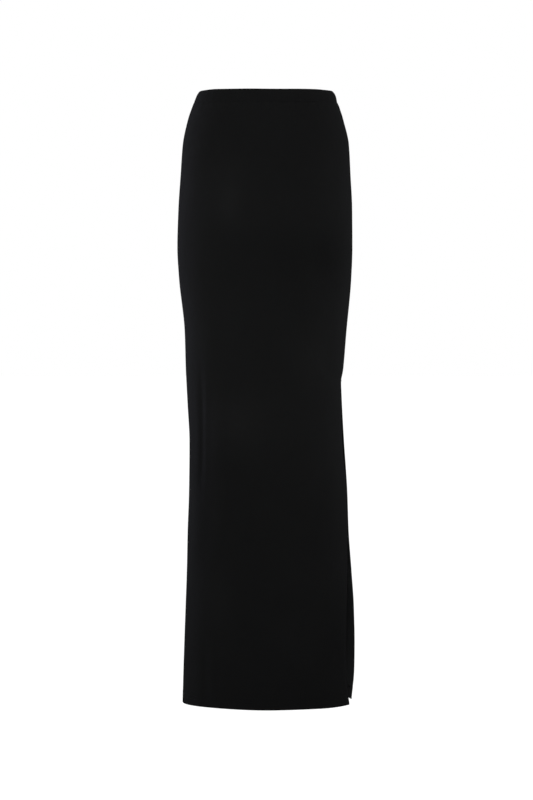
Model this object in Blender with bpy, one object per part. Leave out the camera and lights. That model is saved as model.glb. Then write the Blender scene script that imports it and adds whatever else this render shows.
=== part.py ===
"""A long column skirt in black jersey, hollow and filled out as it is worn.

It is cut from a front, a back and a waistband. The side seam under the wearer's left hip
stops above the knee, and the front and back hang apart below it as a slit.
Metres, +Z up, the front towards -Y and the slit towards +X. The origin is the middle of
the waist opening, level with the top edge, where the wearer's waist holds the skirt.
"""

import math

import bmesh
import bpy
import numpy as np

MM = 0.001

LENGTH = 1100 * MM
WAISTBAND_DEPTH = 22 * MM
SLIT_TOP = 521 * MM
CLOTH = 1.2 * MM
BAND_THICKNESS = 2.8 * MM
BAND_SHOULDER = 6 * MM
HEM_TURNING = 20 * MM
SLIT_TURNING = 12 * MM
TURNING_STEP = 1 * MM
SEAM_GAP = 0.3 * MM

# The front's hem dips at its middle and hangs lower towards the slit, and the back's corner
# at the slit curls up. These ease out above the hem.
FRONT_DIP = 2 * MM
FRONT_LEAN = 1.2 * MM
BACK_CORNER_RISE = 5 * MM
HEM_EASE = 150 * MM

# How far round the side the free edges stop short at the hem, as an angle of the section.
FRONT_EDGE_TURN = math.radians(13)
BACK_EDGE_TURN = math.radians(3)

PANEL_ROW_HEIGHT = 25 * MM
# Runs of columns past the slit's turning: first share, last share, count. The front's are
# closer together where its narrow side crease is.
COLUMN_RUNS = {
    "front": ((0, 0.8, 16), (0.82, 0.9, 6), (0.93, 1, 3)),
    "back": ((0, 1, 21),),
}
BAND_COLUMNS = 64
CURVE_POINTS = 361

# One row for each section, in mm but for the last column. From the axis, left is the reach to
# the left seam, and front_edge and back_edge are the reach to each panel's edge on the slit
# side, where the two are one seam down to the slit's top. Front and back are the depths from
# the side seams. The squareness is an exponent, and 2 would be an ellipse.
SECTION_COLUMNS = ("drop", "left", "front_edge", "back_edge", "front", "back", "squareness")
SECTIONS = (
    (0, 119, 119, 119, 86, 96, 2.6),
    (6, 123, 123.5, 123.5, 87, 97, 2.6),
    (22, 129.5, 129, 129, 89, 100, 2.55),
    (50, 139.5, 138, 138, 94, 106, 2.5),
    (95, 149, 148.5, 148.5, 98, 116, 2.4),
    (150, 153, 151.5, 151.5, 100, 124, 2.35),
    (210, 157, 154.5, 154.5, 101, 130, 2.3),
    (280, 159, 155, 155, 100, 130, 2.3),
    (335, 156, 153, 153, 98, 126, 2.3),
    (430, 146, 144.5, 144.5, 96, 116, 2.3),
    (500, 144, 138.5, 138.5, 95, 109, 2.25),
    (521, 143, 135, 135, 95, 108, 2.25),
    (560, 141, 135, 136.5, 95, 106, 2.2),
    (630, 137.5, 137, 140.5, 95, 104, 2.2),
    (720, 138.5, 144.5, 146.5, 97, 103, 2.2),
    (790, 141, 146.5, 149, 98, 104, 2.2),
    (860, 142.5, 146, 154, 99, 105, 2.2),
    (930, 145, 145, 158.5, 101, 108, 2.2),
    (1000, 147.5, 143.5, 160, 103, 110, 2.2),
    (1045, 149, 144.5, 159.5, 105, 111, 2.2),
    (1100, 150.5, 149, 154.5, 106, 112, 2.2),
)

# The largest creases and hollows, each along a straight line seen from the front, in mm.
# Depth is inward, so a negative one swells.
CREASE_COLUMNS = ("panel", "start_x", "start_drop", "end_x", "end_drop", "width", "depth")
CREASES = (
    ("front", -4, 330, 2, 640, 52, 3.5),
    ("front", -116, 500, -116, 715, 6, 2.2),
    ("front", -107, 520, -107, 700, 6, -1),
    ("front", -84, 180, -78, 225, 28, -1.5),
    ("front", 62, 165, 68, 215, 26, -1.2),
    ("front", 112, 900, 108, 1110, 14, -1.5),
    ("back", 4, 420, 2, 760, 60, 4),
    ("back", -92, 560, -100, 1110, 22, 2.5),
    ("back", 84, 640, 98, 1110, 20, 2),
    ("back", 30, 960, 34, 1110, 18, -2),
)

CLOTH_COLOUR = (0.008, 0.008, 0.009, 1)
CLOTH_ROUGHNESS = 0.75


def clear_scene():
    for obj in list(bpy.data.objects):
        bpy.data.objects.remove(obj)


def jersey_material(name):
    """Black jersey, dull and not metallic. Each piece has its own."""
    material = bpy.data.materials.new(name)
    material.use_nodes = True
    shader = material.node_tree.nodes["Principled BSDF"]
    shader.inputs["Base Color"].default_value = CLOTH_COLOUR
    shader.inputs["Roughness"].default_value = CLOTH_ROUGHNESS
    shader.inputs["Metallic"].default_value = 0
    return material


def smooth_step(value):
    value = min(1.0, max(0.0, value))
    return value * value * (3 - 2 * value)


def section_values(drop):
    """The section table's columns at any height, on smooth curves that don't overshoot its rows."""
    table = np.array(SECTIONS, dtype=float)
    table[:, :-1] *= MM
    heights = table[:, 0]
    steps = np.diff(heights)[:, None]
    slopes = np.diff(table, axis=0) / steps
    before, after = slopes[:-1], slopes[1:]
    same_way = before * after > 0
    tangents = np.zeros_like(table)
    tangents[0], tangents[-1] = slopes[0], slopes[-1]
    tangents[1:-1][same_way] = 2 * (before * after)[same_way] / (before + after)[same_way]
    i = int(np.clip(np.searchsorted(heights, drop) - 1, 0, len(steps) - 1))
    t = min(1.0, max(0.0, float((drop - heights[i]) / steps[i, 0])))
    values = (
        (1 + 2 * t) * (1 - t) ** 2 * table[i]
        + t * (1 - t) ** 2 * steps[i] * tangents[i]
        + t * t * (3 - 2 * t) * table[i + 1]
        + t * t * (t - 1) * steps[i] * tangents[i + 1]
    )
    return dict(zip(SECTION_COLUMNS, values))


def slit_share(drop):
    """0 down to the slit's top, rising to 1 at the hem."""
    return max(0.0, (drop - SLIT_TOP) / (LENGTH - SLIT_TOP))


def panel_curve(panel, drop):
    """Points of one panel's section, finely spaced from the slit side's edge to the left seam."""
    side = -1 if panel == "front" else 1
    section = section_values(drop)
    left, reach, depth = section["left"], section[panel + "_edge"], section[panel]
    power = 2 / section["squareness"]
    edge_turn = FRONT_EDGE_TURN if panel == "front" else BACK_EDGE_TURN
    turn = edge_turn * slit_share(drop)
    right = reach / math.cos(turn) ** power
    angles = np.linspace(turn, math.pi, CURVE_POINTS)
    across = np.cos(angles)
    x = np.where(across > 0, right, left) * np.sign(across) * np.abs(across) ** power
    y = depth * np.clip(np.sin(angles), 0, 1) ** power
    return np.column_stack([x, side * np.maximum(y, SEAM_GAP / 2)])


def spaced_along(curve, distances):
    """Points on a curve at distances along it."""
    lengths = np.concatenate([[0], np.cumsum(np.linalg.norm(np.diff(curve, axis=0), axis=1))])
    return np.column_stack([np.interp(distances, lengths, curve[:, k]) for k in range(2)])


def curve_length(curve):
    return float(np.linalg.norm(np.diff(curve, axis=0), axis=1).sum())


def outward_normals(points):
    """Level directions out of the cloth at each point of a section's curve."""
    tangents = np.gradient(points, axis=0)
    normals = np.column_stack([tangents[:, 1], -tangents[:, 0]])
    normals /= np.linalg.norm(normals, axis=1)[:, None]
    outward = np.sign((normals * points).sum(axis=1))
    return normals * outward[:, None]


def crease_depth(panel, x, drop):
    """How far inward the creases and hollows move the cloth here."""
    total = 0.0
    for row in CREASES:
        crease = dict(zip(CREASE_COLUMNS, row))
        if crease["panel"] != panel:
            continue
        start = np.array([crease["start_x"], crease["start_drop"]]) * MM
        end = np.array([crease["end_x"], crease["end_drop"]]) * MM
        line = end - start
        offset = np.array([x, drop]) - start
        along = float(offset @ line / (line @ line))
        away = float(np.linalg.norm(offset - line * min(1.0, max(0.0, along))))
        width = crease["width"] * MM
        fade = smooth_step(1.5 - abs(along - 0.5) * 2)
        total += crease["depth"] * MM * math.exp(-((away / width) ** 2)) * fade
    return total


def hem_drop(panel, x, drop):
    """The height below the waist after the hem's dip or rise, which eases out above the hem."""
    ease = smooth_step((drop - (LENGTH - HEM_EASE)) / HEM_EASE)
    share = x / section_values(LENGTH)["left"]
    if panel == "front":
        return drop + ease * (FRONT_DIP * math.exp(-((share / 0.4) ** 2)) + FRONT_LEAN * share)
    return drop - BACK_CORNER_RISE * ease * smooth_step((share - 0.75) / 0.25)


def panel_rows():
    """Heights of a panel's rows, with one on the slit's top and two at each edge of a turning."""
    top = WAISTBAND_DEPTH + SEAM_GAP / 2
    turning = LENGTH - HEM_TURNING
    marks = [top, SLIT_TOP, turning - TURNING_STEP]
    rows = []
    for low, high in zip(marks, marks[1:]):
        count = round((high - low) / PANEL_ROW_HEIGHT)
        rows += list(np.linspace(low, high, count, endpoint=False))
    return rows + [turning - TURNING_STEP, turning, LENGTH]


def panel_columns(panel, length):
    """Distances of a panel's columns from the slit side's edge, with two at the slit's turning."""
    first = SLIT_TURNING + TURNING_STEP
    shares = np.concatenate([np.linspace(*run) for run in COLUMN_RUNS[panel]])
    return np.concatenate([[0, SLIT_TURNING], first + shares * (length - first)])


def panel_grids(panel):
    """Outer and inner points of a panel's wall, by row and column."""
    outer, inner = [], []
    for drop in panel_rows():
        curve = panel_curve(panel, drop)
        distances = panel_columns(panel, curve_length(curve))
        points = spaced_along(curve, distances)
        normals = outward_normals(points)
        normals[-1] = (-1, 0)
        if drop <= SLIT_TOP:
            normals[0] = (1, 0)
        outer_row, inner_row = [], []
        for distance, point, normal in zip(distances, points, normals):
            turned = drop > SLIT_TOP and distance <= SLIT_TURNING
            turned = turned or drop >= LENGTH - HEM_TURNING
            thickness = CLOTH * (2 if turned else 1)
            at_edge = distance in (distances[0], distances[-1])
            pushed = 0 if at_edge else crease_depth(panel, point[0], drop)
            height = -hem_drop(panel, point[0], drop)
            outside = point - normal * pushed
            inside = outside - normal * thickness
            outer_row.append((outside[0], outside[1], height))
            inner_row.append((inside[0], inside[1], height))
        outer.append(outer_row)
        inner.append(inner_row)
    return outer, inner


def finished_object(name, mesh_data):
    """Turns a bmesh into a named object with its normals out and its own material."""
    bmesh.ops.recalc_face_normals(mesh_data, faces=mesh_data.faces)
    mesh = bpy.data.meshes.new(name)
    mesh_data.to_mesh(mesh)
    mesh_data.free()
    mesh.shade_smooth()
    mesh.set_sharp_from_angle(angle=math.radians(50))
    mesh.materials.append(jersey_material(name))
    obj = bpy.data.objects.new(name, mesh)
    bpy.context.scene.collection.objects.link(obj)
    return obj


def make_panel(name, panel):
    """A front or back: an open wall of cloth, thicker where its hem and slit edge are turned in."""
    work = bmesh.new()
    outer, inner = (
        [[work.verts.new(point) for point in row] for row in grid] for grid in panel_grids(panel)
    )
    last_row, last_column = len(outer) - 1, len(outer[0]) - 1
    for grid in (outer, inner):
        for i in range(last_row):
            for j in range(last_column):
                work.faces.new((grid[i][j], grid[i][j + 1], grid[i + 1][j + 1], grid[i + 1][j]))
    for i in range(last_row):
        for j in (0, last_column):
            work.faces.new((outer[i][j], outer[i + 1][j], inner[i + 1][j], inner[i][j]))
    for j in range(last_column):
        for i in (0, last_row):
            work.faces.new((outer[i][j], outer[i][j + 1], inner[i][j + 1], inner[i][j]))
    return finished_object(name, work)


def ring_curve(drop, count):
    """Evenly spaced points of the whole section above the slit, front then back."""
    front = panel_curve("front", drop)
    back = panel_curve("back", drop)[::-1]
    whole = np.concatenate([front, back])
    distances = np.linspace(0, curve_length(whole), count, endpoint=False)
    return spaced_along(whole, distances)


def band_profile():
    """The waistband's section as (drop, inset) pairs, its top and bottom rounded over."""
    round_over = BAND_THICKNESS / 4
    low = WAISTBAND_DEPTH - SEAM_GAP / 2
    return (
        (round_over, 0),
        (BAND_SHOULDER, 0),
        (low - round_over, 0),
        (low, round_over),
        (low, BAND_THICKNESS - round_over),
        (low - round_over, BAND_THICKNESS),
        (round_over, BAND_THICKNESS),
        (0, BAND_THICKNESS - round_over),
        (0, round_over),
    )


def make_waistband():
    """The waistband: one strip folded over an elastic and joined in a ring."""
    work = bmesh.new()
    rings = []
    for drop, inset in band_profile():
        points = ring_curve(drop, BAND_COLUMNS)
        normals = outward_normals(np.concatenate([points[-1:], points, points[:1]]))[1:-1]
        inset_points = points - normals * inset
        rings.append([work.verts.new((x, y, -drop)) for x, y in inset_points])
    for i, ring in enumerate(rings):
        next_ring = rings[(i + 1) % len(rings)]
        for j in range(BAND_COLUMNS):
            k = (j + 1) % BAND_COLUMNS
            work.faces.new((ring[j], ring[k], next_ring[k], next_ring[j]))
    return finished_object("waistband", work)


def main():
    clear_scene()
    make_waistband()
    make_panel("front_panel", "front")
    make_panel("back_panel", "back")


main()
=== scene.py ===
"""The looks of a long column skirt in black jersey, hollow and filled out as worn.

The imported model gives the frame. Here its three solids become thin cloth: a front, a back and
a folded waistband, with turned and stitched hems, seams, soft creases and a knitted surface.
Metres, +Z up, the front towards -Y, the slit at +X, the waist's top edge at 0.
"""

import math

import bpy
import numpy as np
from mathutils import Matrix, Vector


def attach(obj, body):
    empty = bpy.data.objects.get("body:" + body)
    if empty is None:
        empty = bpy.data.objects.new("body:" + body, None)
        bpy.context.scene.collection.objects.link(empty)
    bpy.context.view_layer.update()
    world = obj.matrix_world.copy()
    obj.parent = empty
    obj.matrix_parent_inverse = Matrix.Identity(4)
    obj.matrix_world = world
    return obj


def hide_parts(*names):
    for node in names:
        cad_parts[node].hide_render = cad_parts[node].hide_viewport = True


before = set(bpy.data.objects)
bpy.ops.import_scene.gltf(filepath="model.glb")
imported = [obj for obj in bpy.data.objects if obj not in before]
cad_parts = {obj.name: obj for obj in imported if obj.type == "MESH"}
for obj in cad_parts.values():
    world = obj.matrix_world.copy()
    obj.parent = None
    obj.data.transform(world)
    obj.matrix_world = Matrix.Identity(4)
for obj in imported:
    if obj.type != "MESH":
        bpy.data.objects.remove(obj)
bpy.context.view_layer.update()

MM = 0.001

# The cut, as in the solids.
LENGTH = 1100 * MM
WAISTBAND_DEPTH = 22 * MM
SLIT_TOP = 521 * MM
FRONT_DIP = 2 * MM
DIP_WIDTH_SHARE = 0.4
CORNER_SHARE = 0.25
HEM_EASE = 150 * MM
EDGE_TURN = {"front": math.radians(13), "back": math.radians(3)}

# How far the front's hem leans down towards the slit, and the back's corner there rises. Both
# are a little off the solids.
FRONT_LEAN = 2.2 * MM
BACK_CORNER_RISE = 3 * MM

# How finely the cloth is divided.
CURVE_POINTS = 721
PANEL_ROWS = 212
PANEL_COLUMNS = 98
BAND_COLUMNS = 420

# The cloth and its turnings, which show as slight swells.
CLOTH = 0.9 * MM
HEM_TURNING = 20 * MM
SIDE_TURNING = 12 * MM
TURNING_STEP = 0.4 * MM
TURNING_FADE = 3 * MM
SIDE_SWELL = 0.12 * MM
HEM_SWELL = 0.15 * MM
FOLD_FULLNESS = 0.96

# The waistband, its sewn join at the back's middle, and how its elastic draws in the cloth.
BAND_THICKNESS = 2.8 * MM
BAND_OVERLAP = 3 * MM
BAND_INSET = 1.1 * MM
BAND_EDGE_GAP = 0.1 * MM
BAND_EDGE_STEP = 0.4 * MM
BAND_ROWS = (18, 15, 12, 9, 6.5, 4.2)
BAND_PULL = 1.9 * MM
BAND_PULL_DROP = 20 * MM
BAND_PULL_WIDTH = 16 * MM
BAND_PULL_HEIGHT = 6 * MM
BAND_JOIN_SHARE = 0.75
BAND_JOIN_DEPTH = 0.4 * MM
BAND_JOIN_WIDTH = 1.4 * MM
BAND_JOIN_INSET = 1.5 * MM
RIPPLE = 0.16 * MM
RIPPLE_TOP_FADE = 8 * MM
RIPPLE_SEAM_FADE = 6 * MM
PUCKER = 0.22 * MM
PUCKER_REACH = 14 * MM
PUCKER_WAVES = (15 * MM, 83 * MM, 23.7 * MM)

# Stitches and seams.
HEM_STITCH_ROWS = (12 * MM, 18 * MM)
SLIT_STITCH_ROW = 10 * MM
SLIT_ROW_START = 4 * MM
SLIT_ROW_END = 3 * MM
STITCH_PITCH = 3.2 * MM
STITCH_LENGTH = 2.7 * MM
STITCH_SHARES = (-0.5, -0.36, 0, 0.36, 0.5)
STITCH_LIFTS = (-0.9, 0.5, 0.75, 0.5, -0.9)
THREAD = 0.14 * MM
THREAD_TAPER = 0.45
OVERLOCK_PITCH = 2.6 * MM
OVERLOCK_WIDTH = 4 * MM
OVERLOCK_LIFT = 0.9
OVERLOCK_START = 3 * MM
OVERLOCK_END = 6 * MM
TACK_STITCHES = 15
TACK_PITCH = 0.55 * MM
TACK_LEAN = 0.3 * MM
TACK_HALF_HEIGHT = 1.3 * MM
TACK_ABOVE_SLIT = 1.5 * MM
TACK_SHARES = (-1, -0.6, 0, 0.6, 1)
TACK_LIFTS = (-0.6, 1.5, 2.4, 1.5, -0.6)
SEAM_GROOVE = 0.4 * MM
SEAM_GROOVE_WIDTH = 1.1 * MM
STITCH_GROOVE = 0.1 * MM
HEM_GROOVE_WIDTH = 0.7 * MM
SLIT_GROOVE_WIDTH = 0.8 * MM

# The panels' edges. Creases and slow unevenness fade out towards a seam over their reach, and a
# free edge takes on a share of them. The slit's edges come apart below its top and curl softly
# inward beside the fold, and the front's lower corner stands out.
SLIT_OPENING = 12 * MM
FREE_EDGE_SHARE = 0.25
CREASE_REACH = 14 * MM
DRIFT_REACH = 34 * MM
EDGE_CURL = {"front": 1.2 * MM, "back": 2.6 * MM}
CURL_REACH = 14 * MM
CURL_FADE = 55 * MM
CURL_GROWTH = 120 * MM
CORNER_FLARE = 1 * MM
FLARE_HEIGHT = 14 * MM
FLARE_WIDTH = 20 * MM

# The nap stands out past the solids' faces, and the cloth reaches a little past their ends. The
# top edge sways, and falls off towards its corners.
NAP = 0.45 * MM
TOP_RISE = 1.1 * MM
TOP_RISE_FADE = 20 * MM
TOP_SWAY = (0.2 * MM, 0.12 * MM)
CORNER_FALL = 1 * MM
CORNER_START = 88 * MM
CORNER_REACH = 26 * MM
HEM_FALL = 0.8 * MM

# Knit: the spacing of its wales and courses, how the loops' legs lean and swell, and how far
# the arcs on its back bow.
WALE = 0.72 * MM
COURSE = 0.56 * MM
LEG_LEAN = 1.3
LEG_SWELL = 0.28
PURL_BOW = 0.18

# One row for each section, in mm but for the last column, as in the solids.
SECTION_COLUMNS = ("drop", "left", "front_edge", "back_edge", "front", "back", "squareness")
SECTIONS = (
    (0, 119, 119, 119, 86, 96, 2.6),
    (6, 123, 123.5, 123.5, 87, 97, 2.6),
    (22, 129.5, 129, 129, 89, 100, 2.55),
    (50, 139.5, 138, 138, 94, 106, 2.5),
    (95, 149, 148.5, 148.5, 98, 116, 2.4),
    (150, 153, 151.5, 151.5, 100, 124, 2.35),
    (210, 157, 154.5, 154.5, 101, 130, 2.3),
    (280, 159, 155, 155, 100, 130, 2.3),
    (335, 156, 153, 153, 98, 126, 2.3),
    (430, 146, 144.5, 144.5, 96, 116, 2.3),
    (500, 144, 138.5, 138.5, 95, 109, 2.25),
    (521, 143, 135, 135, 95, 108, 2.25),
    (560, 141, 135, 136.5, 95, 106, 2.2),
    (630, 137.5, 137, 140.5, 95, 104, 2.2),
    (720, 138.5, 144.5, 146.5, 97, 103, 2.2),
    (790, 141, 146.5, 149, 98, 104, 2.2),
    (860, 142.5, 146, 154, 99, 105, 2.2),
    (930, 145, 145, 158.5, 101, 108, 2.2),
    (1000, 147.5, 143.5, 160, 103, 110, 2.2),
    (1045, 149, 144.5, 159.5, 105, 111, 2.2),
    (1100, 150.5, 149, 154.5, 106, 112, 2.2),
)

# Creases and hollows, each along a line seen from the front, in mm. Bow is how far the line's
# middle bends aside, fade is the share of its length over which each end runs out, and a
# negative depth swells. A crease narrower than NARROW has a low ridge on each side of it, given
# as its place and width, in widths of the crease, and its share of the depth.
NARROW = 25
RIDGES = ((1.8, 1.1, 0.32), (-1.8, 1.2, 0.2))
CREASE_COLUMNS = (
    "panel", "start_x", "start_drop", "end_x", "end_drop", "bow", "width", "depth", "fade",
)
CREASES = (
    # The broad forms of the solids.
    ("front", -4, 280, 2, 690, 0, 52, 3.5, 0.3),
    ("front", -84, 170, -78, 235, 0, 28, -1.5, 0.4),
    ("front", 62, 155, 68, 225, 0, 26, -1.2, 0.4),
    ("front", 112, 860, 108, 1160, 0, 14, -1.5, 0.3),
    ("back", 4, 340, 2, 840, 0, 60, 4, 0.3),
    ("back", -92, 500, -100, 1200, 0, 22, 2.5, 0.25),
    ("back", 84, 600, 98, 1200, 0, 20, 2, 0.25),
    ("back", 30, 930, 34, 1180, 0, 18, -2, 0.3),
    # The narrow crease down the front's side, and its fainter neighbour.
    ("front", -116, 470, -117, 745, 1.5, 4.5, 2.2, 0.35),
    ("front", -126, 560, -128, 700, -1, 5, 0.7, 0.4),
    # Short drag lines from the side seam under the waist.
    ("front", 100, 82, 150, 84, 1.5, 3.5, 0.9, 0.3),
    ("front", 128, 96, 152, 106, 0, 6, 1.1, 0.4),
    ("front", -150, 118, -118, 96, 1, 7, 0.6, 0.4),
    # Soft verticals in the lower skirt.
    ("front", -60, 610, -66, 1000, 6, 16, 0.8, 0.4),
    ("front", 44, 700, 52, 1090, -5, 20, 0.9, 0.4),
    ("front", -108, 960, -109, 1130, 0, 7, 1.2, 0.4),
    ("front", 88, 540, 96, 800, 4, 14, 0.8, 0.4),
    # Pulls towards the slit's top.
    ("front", 96, 470, 136, 522, -4, 9, 0.9, 0.45),
    ("front", 104, 600, 137, 540, 3, 8, 0.7, 0.45),
    ("back", 92, 458, 136, 522, -4, 10, 1.1, 0.45),
    ("back", 100, 612, 138, 542, 4, 9, 0.9, 0.45),
    # The back's own creases, below the seat and from the waist.
    ("back", -132, 84, -96, 112, 2, 6, 1.3, 0.4),
    ("back", 98, 92, 140, 74, -2, 5, 1.1, 0.4),
    ("back", -70, 352, 66, 366, 10, 15, 1.1, 0.4),
    ("back", -88, 388, -14, 410, 7, 10, 0.8, 0.45),
    ("back", 22, 414, 96, 396, 6, 9, 0.7, 0.45),
    ("back", -52, 640, -60, 1010, 7, 15, 1, 0.4),
    ("back", 118, 600, 126, 900, 0, 7, 1.2, 0.4),
    ("back", -22, 860, -16, 1120, 4, 12, 1.1, 0.4),
)

# Slow unevenness in how the cloth hangs: wavelengths across and down in mm, phases, depth.
DRIFT_COLUMNS = ("across", "down", "phase", "depth")
DRIFT = (
    (210, 640, 0.4, 0.5),
    (130, -410, 1.9, 0.35),
    (88, 300, 3.1, 0.22),
    (61, -730, 5.2, 0.16),
    (47, 190, 2.3, 0.10),
)

# Painted highlights and painted shade: soft patches, lighter or darker, standing in for light on
# the cloth. Sizes in mm. The one inside is painted light beside the slit.
PAINTED_LIGHT_COLUMNS = ("panel", "x", "drop", "half_width", "half_height", "strength")
PAINTED_LIGHT_PATCHES = (
    ("front", -66, 204, 22, 34, 0.21),
    ("front", -60, 156, 54, 40, 0.07),
    ("front", 53, 298, 85, 60, -0.13),
    ("front", 75, 473, 40, 50, 0.11),
    ("front", -55, 592, 44, 47, 0.12),
    ("front", -12, 559, 108, 54, 0.07),
    ("front", -80, 920, 26, 60, 0.13),
    ("front", 42, 974, 46, 54, 0.08),
    ("front", 133, 992, 22, 108, -0.16),
    ("front", 120, 300, 28, 64, -0.1),
    ("front", -117, 690, 14, 130, -0.16),
    ("back", 60, 190, 40, 50, 0.14),
    ("back", -50, 300, 70, 60, -0.1),
    ("back", 20, 620, 90, 60, 0.1),
    ("back", -84, 940, 30, 70, 0.1),
    ("inside", 150, 850, 60, 60, 0.9),
)

# The camera: where it stands and aims, the frame's height in pixels, one pixel's size at the
# skirt, and the sensor in mm.
CAMERA_PLACE = Vector((0.9 * MM, -5.8, -0.3015))
CAMERA_TARGET = Vector((0.9 * MM, 0, -0.5545))
FRAME_HEIGHT = 800
PIXEL_SIZE = 1.804 * MM
SENSOR = 36

# The floor, in metres under the waist and across.
FLOOR_DROP = 1.6
FLOOR_SIZE = 60

# Colours. The knit's tone runs from a dark one to a light one: painted shade in the hollows
# between its loops, random unevenness, and painted highlight and shade patches.
WHITE = (1, 1, 1, 1)
JERSEY_DARK = (0.0011, 0.0011, 0.0011, 1)
JERSEY_LIGHT = (0.0050, 0.0050, 0.0050, 1)
# The inside's tones are paler than the face's: painted light, where little light reaches the
# inside of the slit. The cloth turned in takes them too.
INSIDE_DARK = (0.0022, 0.0022, 0.0022, 1)
INSIDE_LIGHT = (0.0135, 0.0135, 0.0135, 1)
THREAD_COLOUR = (0.0027, 0.0027, 0.0027, 1)
FLOOR_COLOUR = (0.85, 0.85, 0.85, 1)
FLOOR_GLOW = 0.2

# The jersey's finish: the sizes of its cloudiness and fibres as noise scales, how much each
# changes its tone, how much painted shade darkens the hollows between its loops, its relief under
# light, and its sheen.
CLOUDY_SCALE = 7
FIBRE_SCALE = 900
CLOUDY_TONE = 0.25
FIBRE_TONE = 0.1
LOOP_PAINTED_SHADE = 0.6
LOOP_FUZZ = 0.8
FIBRE_FUZZ = 0.35
FUZZ_HEIGHT = 0.16 * MM
FUZZ_STRENGTH = 0.55
ROUGHNESS = (0.72, 0.92)
SHEEN = 0.0055
SHEEN_ROUGHNESS = 0.6
SHEEN_TINT = (0.95, 0.97, 1, 1)

# The sewing thread's twist and gloss.
TWIST_SCALE = 1500
TWIST_HEIGHT = 0.05 * MM
TWIST_STRENGTH = 0.4
THREAD_ROUGHNESS = (0.4, 0.6)
THREAD_GLOSS = 0.02

# Softboxes: size in metres, the width of the beam in degrees, power in watts.
LIGHT_COLUMNS = ("name", "place", "target", "size", "beam", "power", "colour")
LIGHTS = (
    ("left_rim", (-1.5, 0.6, 0.2), (0, 0, -0.35), (0.4, 0.7), 180, 21, (0.82, 0.88, 1)),
    ("left_rim_spot", (-1.6, 0.7, -0.1), (0, 0, -0.42), (0.4, 0.7), 45, 4, (0.68, 0.69, 1)),
    ("left_side", (-1.6, -0.4, 0), (0, 0, -0.42), (0.4, 0.7), 45, 1.8, (1, 1, 1)),
    ("front", (0, -2.2, 0.6), (0, 0, -0.3), (0.8, 0.8), 70, 7.8, (0.9, 0.95, 1)),
    ("front_spot", (0, -2.2, 0.2), (0, 0, -0.45), (0.8, 0.8), 45, 0.8, (1, 1, 0.95)),
    ("right_side", (1.6, -0.5, 0), (0, 0, -0.4), (0.4, 0.7), 40, 1.3, (1, 1, 0.97)),
    ("right_rim", (1.5, 0.5, 0), (0, 0, -0.42), (0.4, 0.7), 45, 1.3, (0.8, 0.82, 1)),
    ("back", (0, 2.2, 0.6), (0, 0, -0.3), (0.8, 0.8), 70, 9, (0.95, 0.97, 1)),
)


def smooth_step(value):
    """Eases from 0 to 1 while the value goes from 0 to 1."""
    value = np.clip(value, 0, 1)
    return value * value * (3 - 2 * value)


def section_columns(drops):
    """The section table's columns at each height, on smooth curves that stay within its rows."""
    table = np.array(SECTIONS, dtype=float)
    table[:, :-1] *= MM
    heights = table[:, 0]
    steps = np.diff(heights)[:, None]
    slopes = np.diff(table, axis=0) / steps
    before, after = slopes[:-1], slopes[1:]
    same_way = before * after > 0
    tangents = np.zeros_like(table)
    tangents[0], tangents[-1] = slopes[0], slopes[-1]
    tangents[1:-1][same_way] = 2 * (before * after)[same_way] / (before + after)[same_way]
    drops = np.asarray(drops, dtype=float)
    i = np.clip(np.searchsorted(heights, drops) - 1, 0, len(steps) - 1)
    t = np.clip((drops - heights[i]) / steps[i, 0], 0, 1)[:, None]
    values = (
        (1 + 2 * t) * (1 - t) ** 2 * table[i]
        + t * (1 - t) ** 2 * steps[i] * tangents[i]
        + t * t * (3 - 2 * t) * table[i + 1]
        + t * t * (t - 1) * steps[i] * tangents[i + 1]
    )
    return {name: values[:, k] for k, name in enumerate(SECTION_COLUMNS)}


def section_curves(panel, drops):
    """Finely spaced points of a panel's section at each height, from the slit side to the left."""
    side = -1 if panel == "front" else 1
    section = section_columns(drops)
    power = (2 / section["squareness"])[:, None]
    share = np.clip((np.asarray(drops) - SLIT_TOP) / (LENGTH - SLIT_TOP), 0, 1)
    turn = (EDGE_TURN[panel] * share)[:, None]
    reach = section[panel + "_edge"][:, None] / np.cos(turn) ** power
    angles = turn + (math.pi - turn) * np.linspace(0, 1, CURVE_POINTS)[None, :]
    across = np.cos(angles)
    left = section["left"][:, None]
    x = np.where(across > 0, reach, left) * np.sign(across) * np.abs(across) ** power
    y = side * section[panel][:, None] * np.clip(np.sin(angles), 0, 1) ** power
    return x, y


def crease_field(panel, x, drop):
    """How far inward the creases and hollows move the cloth at each point."""
    total = np.zeros_like(x)
    for row in CREASES:
        crease = dict(zip(CREASE_COLUMNS, row))
        if crease["panel"] != panel:
            continue
        start = np.array([crease["start_x"], crease["start_drop"]]) * MM
        line = np.array([crease["end_x"], crease["end_drop"]]) * MM - start
        length = np.linalg.norm(line)
        along = ((x - start[0]) * line[0] + (drop - start[1]) * line[1]) / length**2
        aside = ((x - start[0]) * line[1] - (drop - start[1]) * line[0]) / length
        inside = np.clip(along, 0, 1)
        aside = aside - crease["bow"] * MM * 4 * inside * (1 - inside)
        a = aside / (crease["width"] * MM)
        profile = np.exp(-a * a)
        if crease["width"] < NARROW:
            for place, width, share in RIDGES:
                profile -= share * np.exp(-(((a - place) / width) ** 2))
        ends = smooth_step(along / crease["fade"]) * smooth_step((1 - along) / crease["fade"])
        total += crease["depth"] * MM * profile * ends
    return total


def drift_field(u, drop):
    """Slow unevenness over the cloth, from its distance round and its height."""
    total = np.zeros_like(u)
    for row in DRIFT:
        wave = dict(zip(DRIFT_COLUMNS, row))
        turns = u / (wave["across"] * MM) + drop / (wave["down"] * MM)
        total += wave["depth"] * MM * np.sin(2 * math.pi * turns + wave["phase"])
    return total


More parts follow.
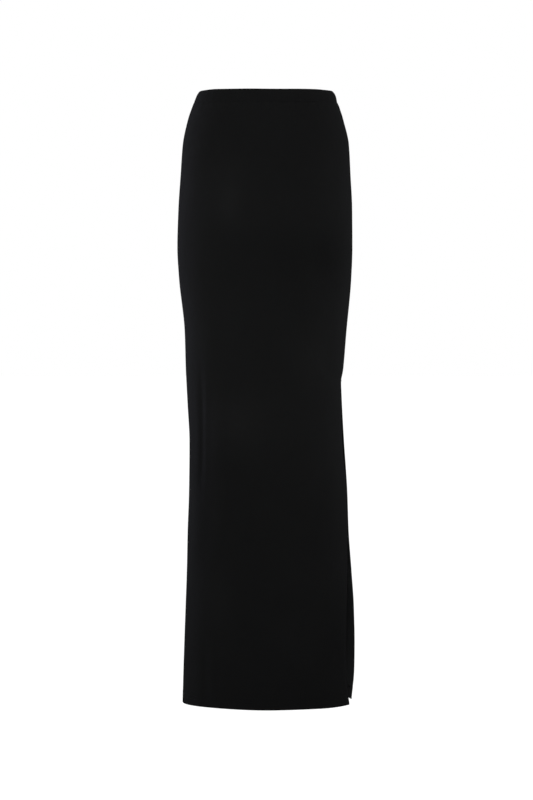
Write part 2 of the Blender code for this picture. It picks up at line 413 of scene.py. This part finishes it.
def hem_drop(panel, x, drop):
    """The height below the waist after the hem's dip or rise, which eases out above the hem."""
    ease = smooth_step((drop - (LENGTH - HEM_EASE)) / HEM_EASE)
    share = x / section_columns([LENGTH])["left"][0]
    if panel == "front":
        dip = FRONT_DIP * np.exp(-((share / DIP_WIDTH_SHARE) ** 2))
        return drop + ease * (HEM_FALL + dip + FRONT_LEAN * smooth_step(share))
    corner = smooth_step((share - (1 - CORNER_SHARE)) / CORNER_SHARE)
    return drop + ease * (HEM_FALL - BACK_CORNER_RISE * corner)


def near_edge(turning):
    """Distances from a turned or seamed edge, close together at its fold, stitches and step."""
    fold = np.array([0, 0.06, 0.2, 0.42, 0.7, 1.0, 1.4, 1.9, 2.6, 3.6, 5, 6.8, 8.4]) * MM
    stitches = SLIT_STITCH_ROW + np.array([-0.7, 0, 0.7]) * MM
    step = turning + np.array([-0.5 * MM, 0, TURNING_STEP, 1.2 * MM, 3 * MM])
    return np.concatenate([fold, stitches, step])


def panel_drops():
    """Heights of the cloth's rows, from under the waistband to the hem's fold."""
    waist = np.array([0, 1.6, 2.4, 2.8, 3.1, 3.5, 4.2, 5.5, 8, 11.5]) * MM
    waist = WAISTBAND_DEPTH - BAND_OVERLAP + waist
    fold = np.array([0, 0.06, 0.2, 0.42, 0.7, 1.0, 1.5, 2.4, 4, 6, 8.4, 10.4, 11.4]) * MM
    rows = np.concatenate([HEM_STITCH_ROWS[0] + np.array([0, 0.6, 2.4]) * MM,
                           HEM_STITCH_ROWS[1] + np.array([-1.6, -0.6, 0, 0.6, 1.4]) * MM])
    step = HEM_TURNING + np.array([0, TURNING_STEP, 1.2 * MM, 3 * MM])
    hem = LENGTH - np.concatenate([fold, rows, step])[::-1]
    between = np.linspace(waist[-1], hem[0], PANEL_ROWS)[1:-1]
    return np.concatenate([waist, between, hem])


def column_distances(lengths):
    """Distances of the columns from the slit side's edge, for each row's length."""
    near = near_edge(SIDE_TURNING)
    shares = np.linspace(0, 1, PANEL_COLUMNS)[1:-1]
    span = lengths[:, None] - 2 * near[-1]
    middle = near[-1] + span * shares[None, :]
    first = np.broadcast_to(near, (len(lengths), len(near)))
    last = lengths[:, None] - near[::-1][None, :]
    return np.concatenate([first, middle, last], axis=1)


def unit(vectors):
    """The same directions, each with a length of 1."""
    return vectors / np.maximum(np.linalg.norm(vectors, axis=-1, keepdims=True), 1e-12)


def grid_normals(points, panel):
    """Directions out of the cloth at each point of a grid."""
    across = np.gradient(points, axis=1)
    down = np.gradient(points, axis=0)
    out = unit(np.cross(across, down))
    return out if panel == "front" else -out


class Panel:
    """A front or back as a grid of points on its outer face, with the wall's thickness at each."""

    def __init__(self, panel):
        self.panel = panel
        self.drops = panel_drops()
        x, y = section_curves(panel, self.drops)
        steps = np.hypot(np.diff(x, axis=1), np.diff(y, axis=1))
        along = np.concatenate([np.zeros((len(x), 1)), np.cumsum(steps, axis=1)], axis=1)
        self.lengths = along[:, -1]
        self.distances = column_distances(self.lengths)
        rows = range(len(self.drops))
        self.x = np.array([np.interp(self.distances[i], along[i], x[i]) for i in rows])
        y = np.array([np.interp(self.distances[i], along[i], y[i]) for i in rows])
        drop = np.broadcast_to(self.drops[:, None], self.x.shape)
        points = np.stack([self.x, y, -hem_drop(panel, self.x, drop)], axis=-1)
        out = grid_normals(points, panel)
        points = points - out * self.relief(drop)[..., None]
        self.normals = grid_normals(points, panel)
        self.set_walls(points, drop)
        self.uv = np.stack([self.lengths[:, None] - self.distances, drop], axis=-1)

    def relief(self, drop):
        """How far inward each point of the outer face lies from the plain form."""
        from_slit = self.distances
        from_left = self.lengths[:, None] - self.distances
        from_hem = LENGTH - drop
        open_share = smooth_step((drop - SLIT_TOP) / SLIT_OPENING)
        from_side = np.minimum(from_slit, from_left)
        free = np.where(from_slit < from_left, open_share, 0) * FREE_EDGE_SHARE
        inward = -NAP
        for field, reach in (
            (crease_field(self.panel, self.x, drop), CREASE_REACH),
            (drift_field(self.distance_round(), drop), DRIFT_REACH),
        ):
            soft = smooth_step(from_side / reach)
            inward = inward + field * (soft + (1 - soft) * free)
        closed = 1 - open_share
        for distance, share in ((from_slit, closed), (from_left, 1)):
            groove = np.exp(-((distance / SEAM_GROOVE_WIDTH) ** 2))
            inward = inward + share * SEAM_GROOVE * groove
        side_band = 1 - smooth_step((from_side - SIDE_TURNING) / TURNING_FADE)
        inward = inward - SIDE_SWELL * side_band
        hem_band = 1 - smooth_step((from_hem - HEM_TURNING) / TURNING_FADE)
        inward = inward - HEM_SWELL * hem_band
        for row in HEM_STITCH_ROWS:
            hem_row = np.exp(-(((from_hem - row) / HEM_GROOVE_WIDTH) ** 2))
            inward = inward + STITCH_GROOVE * hem_row
        slit_row = np.exp(-(((from_slit - SLIT_STITCH_ROW) / SLIT_GROOVE_WIDTH) ** 2))
        inward = inward + STITCH_GROOVE * open_share * slit_row
        above_seam = WAISTBAND_DEPTH + BAND_EDGE_GAP - drop
        under_band = smooth_step(above_seam / BAND_EDGE_STEP)
        inward = inward + BAND_INSET * under_band + band_pull(from_slit, drop)
        near, far = from_slit / CURL_REACH, from_slit / CURL_FADE
        curl = EDGE_CURL[self.panel] * (1 - np.exp(-(near**2))) * np.exp(-(far**2))
        inward = inward + open_share * curl * smooth_step((drop - SLIT_TOP) / CURL_GROWTH)
        if self.panel == "front":
            low, aside = from_hem / FLARE_HEIGHT, from_slit / FLARE_WIDTH
            inward = inward - CORNER_FLARE * np.exp(-(low**2) - aside**2)
        return inward + self.puckers(drop)

    def distance_round(self):
        """Distance round the figure from the left seam, negative on the back."""
        side = 1 if self.panel == "front" else -1
        return side * (self.lengths[:, None] - self.distances)

    def puckers(self, drop):
        """Small gathers under the waistband, where its elastic draws the cloth in."""
        u = self.distance_round()
        short, long, middle = (2 * math.pi * u / wave for wave in PUCKER_WAVES)
        gathers = np.sin(short + 1.3 * np.sin(long)) + 0.6 * np.sin(middle + 0.8)
        return PUCKER * gathers * np.exp(-np.clip(drop - WAISTBAND_DEPTH, 0, None) / PUCKER_REACH)

    def set_walls(self, points, drop):
        """Outer and inner faces: doubled at turnings, and rounded where an edge is a fold."""
        from_left = self.lengths[:, None] - self.distances
        from_side = np.minimum(self.distances, from_left)
        from_hem = LENGTH - drop
        side_turned = 1 - smooth_step((from_side - SIDE_TURNING) / TURNING_STEP)
        hem_turned = 1 - smooth_step((from_hem - HEM_TURNING) / TURNING_STEP)
        thickness = CLOTH * (1 + np.maximum(side_turned, hem_turned))
        radius = thickness / 2
        self.turned = np.maximum(side_turned, hem_turned) > 0
        open_share = smooth_step((drop - SLIT_TOP) / (SLIT_OPENING / 2))
        slit_inset = open_share * rounding(self.distances, radius)
        inset = np.maximum(slit_inset, rounding(from_hem, radius))
        self.outer = points - self.normals * inset[..., None]
        self.inner = points - self.normals * (thickness - inset)[..., None]

    def at(self, distance, drop, inside=False):
        """The point and outward direction at a distance from the slit side's edge."""
        i = int(np.clip(np.searchsorted(self.drops, drop) - 1, 0, len(self.drops) - 2))
        t = (drop - self.drops[i]) / (self.drops[i + 1] - self.drops[i])
        t = min(1.0, max(0.0, t))

        def between_rows(grid):
            upper, lower = (
                np.array([np.interp(distance, self.distances[k], column) for column in grid[k].T])
                for k in (i, i + 1)
            )
            return upper * (1 - t) + lower * t

        face = self.inner if inside else self.outer
        return between_rows(face), unit(between_rows(self.normals))

    def length_at(self, drop):
        """The panel's length round the figure at one height."""
        return float(np.interp(drop, self.drops, self.lengths))


def band_pull(from_slit, drop):
    """How far in the elastic draws the waist seam next to the slit's side seam."""
    near = from_slit / BAND_PULL_WIDTH
    level = (drop - BAND_PULL_DROP) / BAND_PULL_HEIGHT
    return BAND_PULL * np.exp(-(near**2) - level**2)


def rounding(distance, radius):
    """How far a fold's face draws in from the flat near its edge, as a half circle."""
    inward = np.clip(radius - distance, 0, None)
    return FOLD_FULLNESS * (radius - np.sqrt(np.clip(radius**2 - inward**2, 0, None)))


def quads(rows, columns, offset, reverse, wrap=False):
    """Faces of a grid whose vertices start at an offset, closed into a tube where it wraps."""
    last = columns if wrap else columns - 1
    i, j = np.meshgrid(np.arange(rows - 1), np.arange(last), indexing="ij")
    k = (j + 1) % columns
    upper, lower = i * columns, (i + 1) * columns
    faces = np.stack([upper + j, upper + k, lower + k, lower + j], axis=-1)
    faces = faces.reshape(-1, 4) + offset
    return faces[:, ::-1] if reverse else faces


def smooth_object(name, vertices, faces, materials):
    """A smooth mesh object in the scene, with its materials."""
    mesh = bpy.data.meshes.new(name)
    mesh.from_pydata(vertices.tolist(), [], faces)
    for material in materials:
        mesh.materials.append(material)
    mesh.shade_smooth()
    mesh.update()
    obj = bpy.data.objects.new(name, mesh)
    bpy.context.scene.collection.objects.link(obj)
    return obj


def cloth_object(name, vertices, faces, uv, materials):
    """A smooth mesh object whose map holds the cloth's own coordinates."""
    obj = smooth_object(name, vertices, faces.tolist(), materials)
    layer = obj.data.uv_layers.new(name="cloth")
    corners = np.zeros(len(obj.data.loops), dtype=np.int32)
    obj.data.loops.foreach_get("vertex_index", corners)
    layer.uv.foreach_set("vector", uv[corners].astype(np.float32).ravel())
    return obj


def panel_cloth(name, panel, materials):
    """A panel's closed wall: outer face, inner face and the edges between them.

    The materials are those of the face, of the inside and of the cloth that is turned in.
    """
    rows, columns = panel.outer.shape[:2]
    vertices = np.concatenate([panel.outer.reshape(-1, 3), panel.inner.reshape(-1, 3)])
    uv = np.concatenate([panel.uv.reshape(-1, 2)] * 2)
    total = rows * columns
    front = panel.panel == "front"
    faces = [quads(rows, columns, 0, not front), quads(rows, columns, total, front)]
    index = np.arange(total).reshape(rows, columns)
    border = np.concatenate([index[:-1, 0], index[-1, :-1], index[:0:-1, -1], index[0, :0:-1]])
    following = np.roll(border, -1)
    rim = np.stack([border, following, following + total, border + total], axis=-1)
    faces.append(rim[:, ::-1] if not front else rim)
    inside = np.where(panel.turned[:-1, :-1].ravel(), 2, 1)
    slots = np.concatenate([np.zeros(len(faces[0])), inside, np.zeros(len(rim))])
    cloth = cloth_object(name, vertices, np.concatenate(faces), uv, materials)
    cloth.data.polygons.foreach_set("material_index", slots.astype(np.int32))
    cloth.data.update()
    return cloth


def ring_points(drop, count):
    """Evenly spaced points round the whole section above the slit, with outward directions."""
    curves = [section_curves(panel, [drop]) for panel in ("front", "back")]
    x = np.concatenate([curves[0][0][0], curves[1][0][0][::-1]])
    y = np.concatenate([curves[0][1][0], curves[1][1][0][::-1]])
    along = np.concatenate([[0], np.cumsum(np.hypot(np.diff(x), np.diff(y)))])
    at = np.linspace(0, along[-1], count, endpoint=False)
    points = np.column_stack([np.interp(at, along, x), np.interp(at, along, y)])
    tangents = np.roll(points, -1, axis=0) - np.roll(points, 1, axis=0)
    normals = unit(np.column_stack([tangents[:, 1], -tangents[:, 0]]))
    outward = np.sign((normals * points).sum(axis=1))[:, None]
    return points, normals * outward, at, along[-1]


def band_profile():
    """The folded strip's section, round its whole wall: drop, inset, distance along the cloth."""
    low = WAISTBAND_DEPTH
    middle = BAND_THICKNESS / 2
    lines = []
    for wall in (0, CLOTH):
        radius = middle - wall
        leg = [(low, wall), (low - 0.5 * MM, wall), (low - 1.4 * MM, wall)]
        if wall == 0:
            leg[:2] = [(low - 0.05 * MM, 0.2 * MM), (low - 0.35 * MM, 0.03 * MM)]
        leg += [(row * MM, wall) for row in BAND_ROWS]
        arc = [
            (middle - radius * math.sin(a), middle - radius * math.cos(a))
            for a in np.linspace(0, math.pi, 13)
        ]
        other = [(drop, BAND_THICKNESS - inset) for drop, inset in leg[::-1]]
        lines.append(leg + arc + other)
    lines[1] = lines[1][::-1]
    profile = []
    for line in lines:
        walked = 0.0
        steps = [0.0] + [math.dist(a, b) for a, b in zip(line, line[1:])]
        for point, step in zip(line, steps):
            walked += step
            profile.append((*point, walked))
    return profile


def waistband_cloth(material):
    """The waistband: one strip folded over at the top, open at the bottom where it is sewn on."""
    profile = band_profile()
    rings, uv = [], []
    for drop, inset, walked in profile:
        points, normals, at, girth = ring_points(drop, BAND_COLUMNS)
        turns = 2 * math.pi * at / girth
        wave = np.sin(47 * turns + 1.1 * np.sin(5 * turns)) + 0.6 * np.sin(31 * turns + 0.7)
        above_seam = WAISTBAND_DEPTH - drop
        slack = smooth_step(drop / RIPPLE_TOP_FADE) * smooth_step(above_seam / RIPPLE_SEAM_FADE)
        from_join = at - girth * BAND_JOIN_SHARE
        join = np.exp(-((from_join / BAND_JOIN_WIDTH) ** 2)) * (inset < BAND_JOIN_INSET)
        inward = inset - NAP + RIPPLE * wave * slack + BAND_JOIN_DEPTH * join
        inward = inward + band_pull(np.minimum(at, girth - at), drop)
        level = points - normals * inward[:, None]
        sway = TOP_SWAY[0] * np.sin(3 * turns + 0.9) + TOP_SWAY[1] * np.sin(8 * turns)
        corner = smooth_step((np.abs(level[:, 0]) - CORNER_START) / CORNER_REACH)
        rise = sway + TOP_RISE - CORNER_FALL * corner
        height = rise * smooth_step(above_seam / TOP_RISE_FADE) - drop
        rings.append(np.column_stack([level, height]))
        uv.append(np.column_stack([at, np.full(BAND_COLUMNS, walked)]))
    faces = quads(len(profile), BAND_COLUMNS, 0, False, wrap=True)
    first = np.arange(BAND_COLUMNS)
    last = first + (len(profile) - 1) * BAND_COLUMNS
    closing = np.stack([last, np.roll(last, -1), np.roll(first, -1), first], axis=-1)
    faces = np.concatenate([faces, closing])
    vertices = np.concatenate(rings)
    return cloth_object("waistband_cloth", vertices, faces, np.concatenate(uv), [material])


def thread_object(name, strands, material, sides=5):
    """Threads, each a tube with tapered ends along its own points."""
    vertices, faces = [], []
    angles = np.linspace(0, 2 * math.pi, sides, endpoint=False)
    cosines, sines = np.cos(angles)[None, :, None], np.sin(angles)[None, :, None]
    start = 0
    for points, normals in strands:
        points, normals = np.asarray(points), np.asarray(normals)
        tangents = unit(np.gradient(points, axis=0))
        across = unit(np.cross(tangents, normals))
        up = np.cross(across, tangents)
        size = np.full(len(points), THREAD)
        size[[0, -1]] *= THREAD_TAPER
        ring = across[:, None] * cosines + up[:, None] * sines
        rings = points[:, None] + ring * size[:, None, None]
        vertices.append(rings.reshape(-1, 3))
        faces += quads(len(points), sides, start, False, wrap=True).tolist()
        end = start + (len(points) - 1) * sides
        faces.append([start + k for k in range(sides)][::-1])
        faces.append([end + k for k in range(sides)])
        start += len(points) * sides
    return smooth_object(name, np.concatenate(vertices), faces, [material])


def lifted(samples, lifts):
    """A strand through points on the cloth, each lifted off it by so many thread radii."""
    points = [point + normal * THREAD * lift for (point, normal), lift in zip(samples, lifts)]
    return points, [normal for _, normal in samples]


def stitch_row(panel, place, span):
    """One row of stitches, where place turns a distance along the row into the cloth's own."""
    strands = []
    count = int(span / STITCH_PITCH)
    for k in range(count):
        middle = (k + 0.5) * span / count
        samples = [panel.at(*place(middle + s * STITCH_LENGTH)) for s in STITCH_SHARES]
        strands.append(lifted(samples, STITCH_LIFTS))
    return strands


def hem_strands(panel):
    """The hem's two rows of stitches."""
    strands = []
    for row in HEM_STITCH_ROWS:
        drop = LENGTH - row
        span = panel.length_at(drop)
        strands += stitch_row(panel, lambda s, drop=drop: (s, drop), span)
    return strands


def slit_strands(panel):
    """The row of stitches down the slit's turned edge."""
    top = SLIT_TOP + SLIT_ROW_START
    return stitch_row(panel, lambda s: (SLIT_STITCH_ROW, top + s), LENGTH - SLIT_ROW_END - top)


def bar_tack(front, back):
    """Packed stitches across the seam at the slit's top, which keep it from tearing."""
    strands = []
    middle = SLIT_TOP - TACK_ABOVE_SLIT
    for k in range(TACK_STITCHES):
        offset = (k - TACK_STITCHES // 2) * TACK_PITCH
        panel = front if offset < 0 else back
        lean = TACK_LEAN if k % 2 else -TACK_LEAN
        samples = [
            panel.at(abs(offset) + lean * s, middle + s * TACK_HALF_HEIGHT) for s in TACK_SHARES
        ]
        strands.append(lifted(samples, TACK_LIFTS))
    return strands


def overlock_strand(panel, place, span):
    """One long zigzag of thread over a raw edge, on the cloth's inner face."""
    count = int(span / OVERLOCK_PITCH) * 2
    points, normals = [], []
    for k in range(count + 1):
        side = -1 if k % 2 else 1
        p, n = panel.at(*place(k * span / count, side * OVERLOCK_WIDTH / 2), inside=True)
        points.append(p - n * THREAD * OVERLOCK_LIFT)
        normals.append(-n)
    return points, normals


def overlock_strands(panel):
    """Zigzags over the raw edges inside: the hem's and those of the side turnings."""
    hem = LENGTH - HEM_TURNING
    top = WAISTBAND_DEPTH + OVERLOCK_START
    height = hem - OVERLOCK_END - top
    side = SIDE_TURNING

    def at_hem(s, w):
        return s + side, hem + w

    def at_slit(s, w):
        return side + w, top + s

    def at_left(s, w):
        return panel.length_at(top + s) - side + w, top + s

    return [
        overlock_strand(panel, at_hem, panel.length_at(hem) - 2 * side),
        overlock_strand(panel, at_slit, height),
        overlock_strand(panel, at_left, height),
    ]


def new_material(name):
    """A new material, its node tree and its Principled shader."""
    material = bpy.data.materials.new(name)
    material.use_nodes = True
    tree = material.node_tree
    return material, tree, tree.nodes["Principled BSDF"]


def add_node(tree, kind, inputs=(), **settings):
    """Adds a node, with its settings and its inputs as values or as other nodes' outputs."""
    node = tree.nodes.new(kind)
    for key, value in settings.items():
        setattr(node, key, value)
    for key, value in dict(inputs).items():
        if isinstance(value, bpy.types.NodeSocket):
            tree.links.new(value, node.inputs[key])
        else:
            node.inputs[key].default_value = value
    return node


def maths(tree, operation, a, b=None):
    """A Math node's output."""
    inputs = {0: a} if b is None else {0: a, 1: b}
    return add_node(tree, "ShaderNodeMath", inputs, operation=operation).outputs[0]


def purl_height(tree, u, v):
    """The height of a knit's back: rows of small arcs, each course set off by half a wale."""
    courses = maths(tree, "DIVIDE", v, COURSE)
    turned = maths(tree, "MULTIPLY", maths(tree, "FLOOR", courses), 0.5)
    wales = maths(tree, "ADD", maths(tree, "DIVIDE", u, WALE), turned)
    bow = maths(tree, "SINE", maths(tree, "MULTIPLY", wales, 2 * math.pi))
    level = maths(tree, "ADD", courses, maths(tree, "MULTIPLY", bow, PURL_BOW))
    return maths(tree, "ABSOLUTE", maths(tree, "SINE", maths(tree, "MULTIPLY", level, math.pi)))


def knit_height(tree, u, v):
    """The height of a knit's face: legs of loops that lean together in V shapes down each wale."""
    wales = maths(tree, "DIVIDE", u, WALE)
    side = maths(tree, "ABSOLUTE", maths(tree, "SUBTRACT", maths(tree, "FRACT", wales), 0.5))
    courses = maths(tree, "DIVIDE", v, COURSE)
    leaning = maths(tree, "SUBTRACT", courses, maths(tree, "MULTIPLY", side, LEG_LEAN))
    legs = maths(tree, "SINE", maths(tree, "MULTIPLY", leaning, 2 * math.pi))
    round_leg = maths(tree, "SINE", maths(tree, "MULTIPLY", side, 2 * math.pi))
    swell = maths(tree, "ADD", maths(tree, "MULTIPLY", legs, LEG_SWELL), 1 - LEG_SWELL)
    return maths(tree, "MULTIPLY", swell, maths(tree, "ABSOLUTE", round_leg))


def painted_light(tree, panel, place):
    """The change of tone from the painted highlight and shade patches of a panel or of the inside.
    """
    split = add_node(tree, "ShaderNodeSeparateXYZ", {0: place})
    total = 0.0
    for row in PAINTED_LIGHT_PATCHES:
        patch = dict(zip(PAINTED_LIGHT_COLUMNS, row))
        if patch["panel"] != panel:
            continue
        aside = maths(tree, "SUBTRACT", split.outputs["X"], patch["x"] * MM)
        aside = maths(tree, "DIVIDE", aside, patch["half_width"] * MM)
        down = maths(tree, "ADD", split.outputs["Z"], patch["drop"] * MM)
        down = maths(tree, "DIVIDE", down, patch["half_height"] * MM)
        away = maths(tree, "ADD", maths(tree, "POWER", aside, 2), maths(tree, "POWER", down, 2))
        soft = maths(tree, "EXPONENT", maths(tree, "MULTIPLY", away, -1))
        total = maths(tree, "ADD", total, maths(tree, "MULTIPLY", soft, patch["strength"]))
    return total


def noise(tree, place, scale, detail, roughness):
    """A Noise node's output."""
    inputs = {"Vector": place, "Scale": scale, "Detail": detail, "Roughness": roughness}
    return add_node(tree, "ShaderNodeTexNoise", inputs).outputs["Fac"]


def weighted(tree, a, share_a, b, share_b):
    """The sum of two outputs, each times its share."""
    part_a = maths(tree, "MULTIPLY", a, share_a)
    return maths(tree, "ADD", part_a, maths(tree, "MULTIPLY", b, share_b))


def set_rough_range(tree, shader, value, low_high):
    """Lets an output between 0 and 1 set a shader's roughness within a range."""
    inputs = {"Value": value, "To Min": low_high[0], "To Max": low_high[1]}
    ranged = add_node(tree, "ShaderNodeMapRange", inputs)
    tree.links.new(ranged.outputs["Result"], shader.inputs["Roughness"])


def set_bump(tree, shader, height, distance, strength):
    """Lets an output set a shader's fine relief."""
    inputs = {"Strength": strength, "Distance": distance, "Height": height}
    bump = add_node(tree, "ShaderNodeBump", inputs)
    tree.links.new(bump.outputs["Normal"], shader.inputs["Normal"])


def jersey_material(name, surface=knit_height, dark=JERSEY_DARK, light=JERSEY_LIGHT, panel=None):
    """Black knitted jersey: fine loops with painted shade between them, a faint unevenness of dye
    and a soft cool sheen.
    """
    material, tree, shader = new_material(name)
    cloth = add_node(tree, "ShaderNodeUVMap", uv_map="cloth")
    split = add_node(tree, "ShaderNodeSeparateXYZ", {0: cloth.outputs["UV"]})
    height = surface(tree, split.outputs["X"], split.outputs["Y"])
    place = add_node(tree, "ShaderNodeTexCoord").outputs["Object"]
    cloudy = noise(tree, place, CLOUDY_SCALE, 4, 0.6)
    fibres = noise(tree, place, FIBRE_SCALE, 2, 0.7)
    tone = weighted(tree, cloudy, CLOUDY_TONE, fibres, FIBRE_TONE)
    # Painted shade: the colour is darker in the hollows between the knit's loops.
    tone = maths(tree, "ADD", tone, maths(tree, "MULTIPLY", height, LOOP_PAINTED_SHADE))
    # Painted highlights and painted shade from the patches of a panel or of the inside.
    if panel:
        tone = maths(tree, "ADD", tone, painted_light(tree, panel, place))
    colour = add_node(
        tree, "ShaderNodeMix", {"Factor": tone, "A": dark, "B": light},
        data_type="RGBA", clamp_factor=False,
    )
    tree.links.new(colour.outputs["Result"], shader.inputs["Base Color"])
    set_rough_range(tree, shader, fibres, ROUGHNESS)
    fuzz = weighted(tree, height, LOOP_FUZZ, fibres, FIBRE_FUZZ)
    set_bump(tree, shader, fuzz, FUZZ_HEIGHT, FUZZ_STRENGTH)
    shader.inputs["Specular IOR Level"].default_value = 0
    shader.inputs["Sheen Weight"].default_value = SHEEN
    shader.inputs["Sheen Roughness"].default_value = SHEEN_ROUGHNESS
    shader.inputs["Sheen Tint"].default_value = SHEEN_TINT
    return material


def thread_material():
    """Black sewing thread: finely twisted, a little glossier than the cloth."""
    material, tree, shader = new_material("black_thread")
    place = add_node(tree, "ShaderNodeTexCoord").outputs["Object"]
    inputs = {"Vector": place, "Scale": TWIST_SCALE, "Distortion": 2, "Detail": 1}
    wave = add_node(tree, "ShaderNodeTexWave", inputs, bands_direction="DIAGONAL")
    twist = wave.outputs["Fac"]
    set_bump(tree, shader, twist, TWIST_HEIGHT, TWIST_STRENGTH)
    set_rough_range(tree, shader, twist, THREAD_ROUGHNESS)
    shader.inputs["Base Color"].default_value = THREAD_COLOUR
    shader.inputs["Specular IOR Level"].default_value = THREAD_GLOSS
    return material


def dress(piece, slot, *nodes):
    """Fixes a piece to the model's one body, and hides the solids that it stands for."""
    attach(piece, "root")
    if nodes:
        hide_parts(*nodes)


def make_skirt():
    """The three pieces of cloth, and what is sewn into them."""
    front, back = Panel("front"), Panel("back")
    thread = thread_material()
    # The inside and the cloth turned in take the paler tones: painted light.
    inner = [
        jersey_material("jersey_inside", purl_height, INSIDE_DARK, INSIDE_LIGHT, "inside"),
        jersey_material("jersey_turned_in", knit_height, INSIDE_DARK, INSIDE_LIGHT, "inside"),
    ]
    front_face = jersey_material("front_jersey", panel="front")
    back_face = jersey_material("back_jersey", panel="back")
    front_cloth = panel_cloth("front_cloth", front, [front_face, *inner])
    back_cloth = panel_cloth("back_cloth", back, [back_face, *inner])
    band_cloth = waistband_cloth(jersey_material("waistband_jersey"))
    dress(front_cloth, "front_panel", "front_panel")
    dress(back_cloth, "back_panel", "back_panel")
    dress(band_cloth, "waistband", "waistband")
    sewn = {}
    for side, panel in (("front", front), ("back", back)):
        rows = hem_strands(panel) + slit_strands(panel)
        stitches = thread_object(f"{side}_stitches", rows, thread)
        overlock = thread_object(f"{side}_overlock", overlock_strands(panel), thread, sides=4)
        sewn[side] = [stitches, overlock]
        for piece in sewn[side]:
            dress(piece, f"{side}_panel")
    tack = thread_object("slit_bar_tack", bar_tack(front, back), thread)
    dress(tack, "back_panel")
    sewn["back"].append(tack)


def make_floor():
    """A plain white floor, lit from within like a light table, so that it shows no shadow."""
    mesh = bpy.data.meshes.new("floor")
    half = FLOOR_SIZE / 2
    corners = [(-half, -half, 0), (half, -half, 0), (half, half, 0), (-half, half, 0)]
    mesh.from_pydata(corners, [], [(0, 1, 2, 3)])
    floor = bpy.data.objects.new("floor", mesh)
    floor.location.z = -FLOOR_DROP
    bpy.context.scene.collection.objects.link(floor)
    material, _, shader = new_material("white_floor")
    shader.inputs["Base Color"].default_value = FLOOR_COLOUR
    shader.inputs["Roughness"].default_value = 0.9
    shader.inputs["Emission Color"].default_value = WHITE
    shader.inputs["Emission Strength"].default_value = FLOOR_GLOW
    mesh.materials.append(material)


def area_light(name, place, target, size, beam, power, colour):
    """A rectangular softbox, which cameras don't see."""
    light = bpy.data.lights.new(name, "AREA")
    light.shape = "RECTANGLE"
    light.size, light.size_y = size
    light.spread = math.radians(beam)
    light.energy = power
    light.color = colour
    obj = bpy.data.objects.new(name, light)
    obj.location = place
    obj.rotation_euler = (Vector(target) - Vector(place)).to_track_quat("-Z", "Y").to_euler()
    obj.visible_camera = False
    bpy.context.scene.collection.objects.link(obj)


def make_light():
    """White surroundings, and softboxes all round, the left rim's the strongest."""
    world = bpy.data.worlds.new("white_surroundings")
    world.use_nodes = True
    background = world.node_tree.nodes["Background"]
    background.inputs["Color"].default_value = WHITE
    background.inputs["Strength"].default_value = 1.0
    bpy.context.scene.world = world
    for row in LIGHTS:
        area_light(**dict(zip(LIGHT_COLUMNS, row)))


def make_camera():
    """A long lens in front, above the skirt's middle and aimed slightly down at it."""
    camera = bpy.data.cameras.new("camera")
    camera.sensor_width = SENSOR
    distance = (CAMERA_TARGET - CAMERA_PLACE).length
    camera.lens = SENSOR * distance / (PIXEL_SIZE * FRAME_HEIGHT)
    obj = bpy.data.objects.new("camera", camera)
    obj.location = CAMERA_PLACE
    obj.rotation_euler = (CAMERA_TARGET - CAMERA_PLACE).to_track_quat("-Z", "Y").to_euler()
    bpy.context.scene.collection.objects.link(obj)
    bpy.context.scene.camera = obj


make_camera()
make_skirt()
make_floor()
make_light()
bpy.context.scene.view_settings.view_transform = "Standard"
